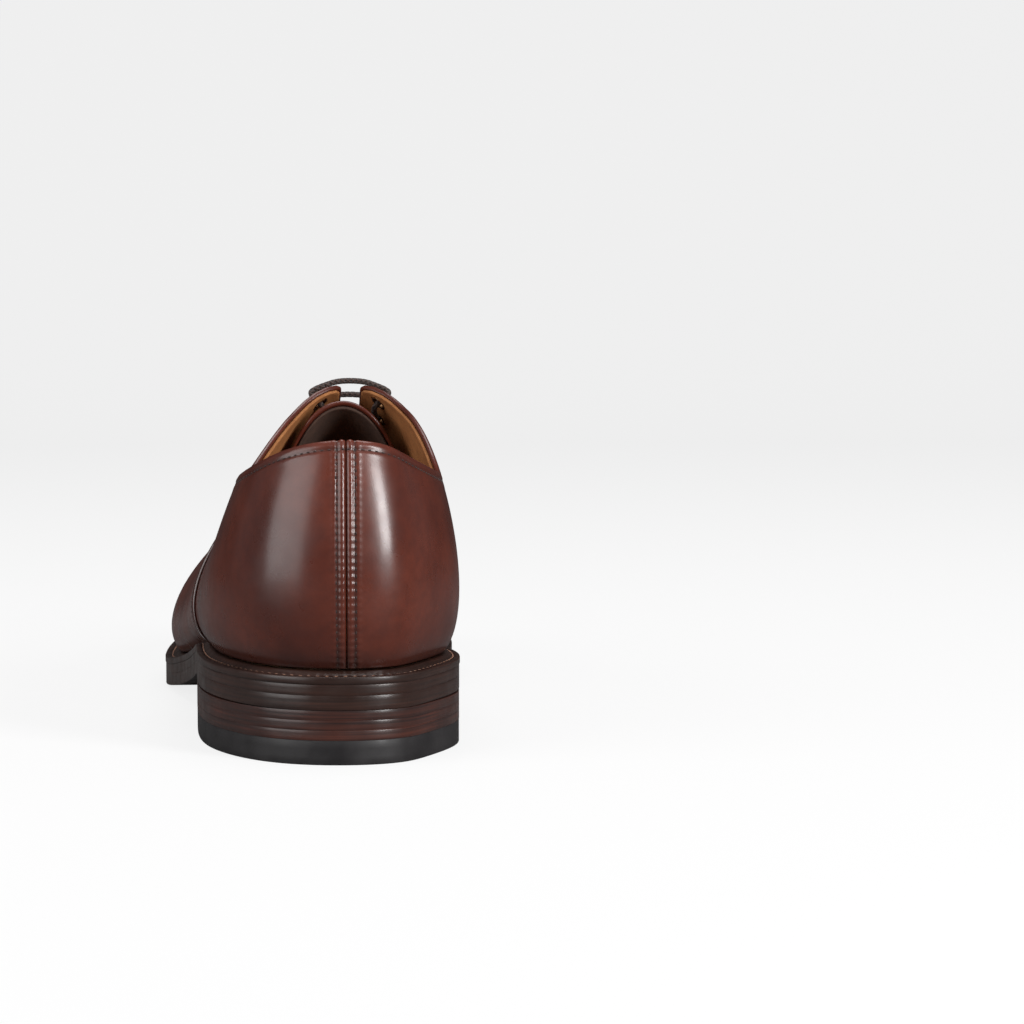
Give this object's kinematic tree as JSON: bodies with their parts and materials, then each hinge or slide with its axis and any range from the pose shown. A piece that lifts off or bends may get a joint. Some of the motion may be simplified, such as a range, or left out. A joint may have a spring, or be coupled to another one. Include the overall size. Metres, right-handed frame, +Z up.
{
  "type": "leather oxford shoe",
  "caption": "Left-foot welted cap-toe oxford shoe in dark brown calf, with a laced throat, a hinged tongue and a stacked leather heel with a rubber top lift.",
  "frame": {"origin": "on the ground, under the middle of the shoe's bounding box", "axes": "+Z up, +Y towards the toe, -X towards the outer (lateral) side of the left foot"},
  "size_m": [0.0986, 0.302, 0.1035],
  "materials": {
    "calf": "polished dark brown calf",
    "lining": "undyed tan lining leather",
    "tongue_back": "dark brown lining leather",
    "board": "leather board",
    "sole_leather": "dyed and burnished sole leather",
    "rubber": "matt black rubber",
    "cork": "ground cork",
    "lace_cotton": "waxed round cotton lace",
    "steel": "plain steel",
    "eyelet_brass": "bronzed brass"
  },
  "bodies": {
    "shoe": {"cork_filler": "cork", "eyelet_lateral_1": "eyelet_brass", "eyelet_lateral_2": "eyelet_brass", "eyelet_lateral_3": "eyelet_brass", "eyelet_lateral_4": "eyelet_brass", "eyelet_lateral_5": "eyelet_brass", "eyelet_medial_1": "eyelet_brass", "eyelet_medial_2": "eyelet_brass", "eyelet_medial_3": "eyelet_brass", "eyelet_medial_4": "eyelet_brass", "eyelet_medial_5": "eyelet_brass", "heel_counter": "board", "heel_lift_1": "sole_leather", "heel_lift_2": "sole_leather", "heel_lift_3": "sole_leather", "heel_lining": "lining", "heel_nail_1": "steel", "heel_nail_2": "steel", "heel_nail_3": "steel", "heel_nail_4": "steel", "heel_nail_5": "steel", "insole": "board", "lace": "lace_cotton", "midsole": "sole_leather", "outsole": "sole_leather", "quarter_lateral": "calf", "quarter_lining_lateral": "lining", "quarter_lining_medial": "lining", "quarter_medial": "calf", "seat_filler": "board", "shank": "steel", "sock_liner": "lining", "toe_cap": "calf", "toe_puff": "board", "top_lift": "rubber", "vamp": "calf", "vamp_lining": "lining", "welt": "sole_leather"},
    "tongue": {"tongue": "calf", "tongue_lining": "tongue_back"}
  },
  "joints": [
    {"name": "tongue_fold", "type": "hinge", "parent": "shoe", "child": "tongue", "pos_m": [0.0057, 0.0323, 0.0622], "axis": [1, 0, 0], "range_deg": [0, 20], "stiffness_Nm_per_rad": 0.02}
  ]
}
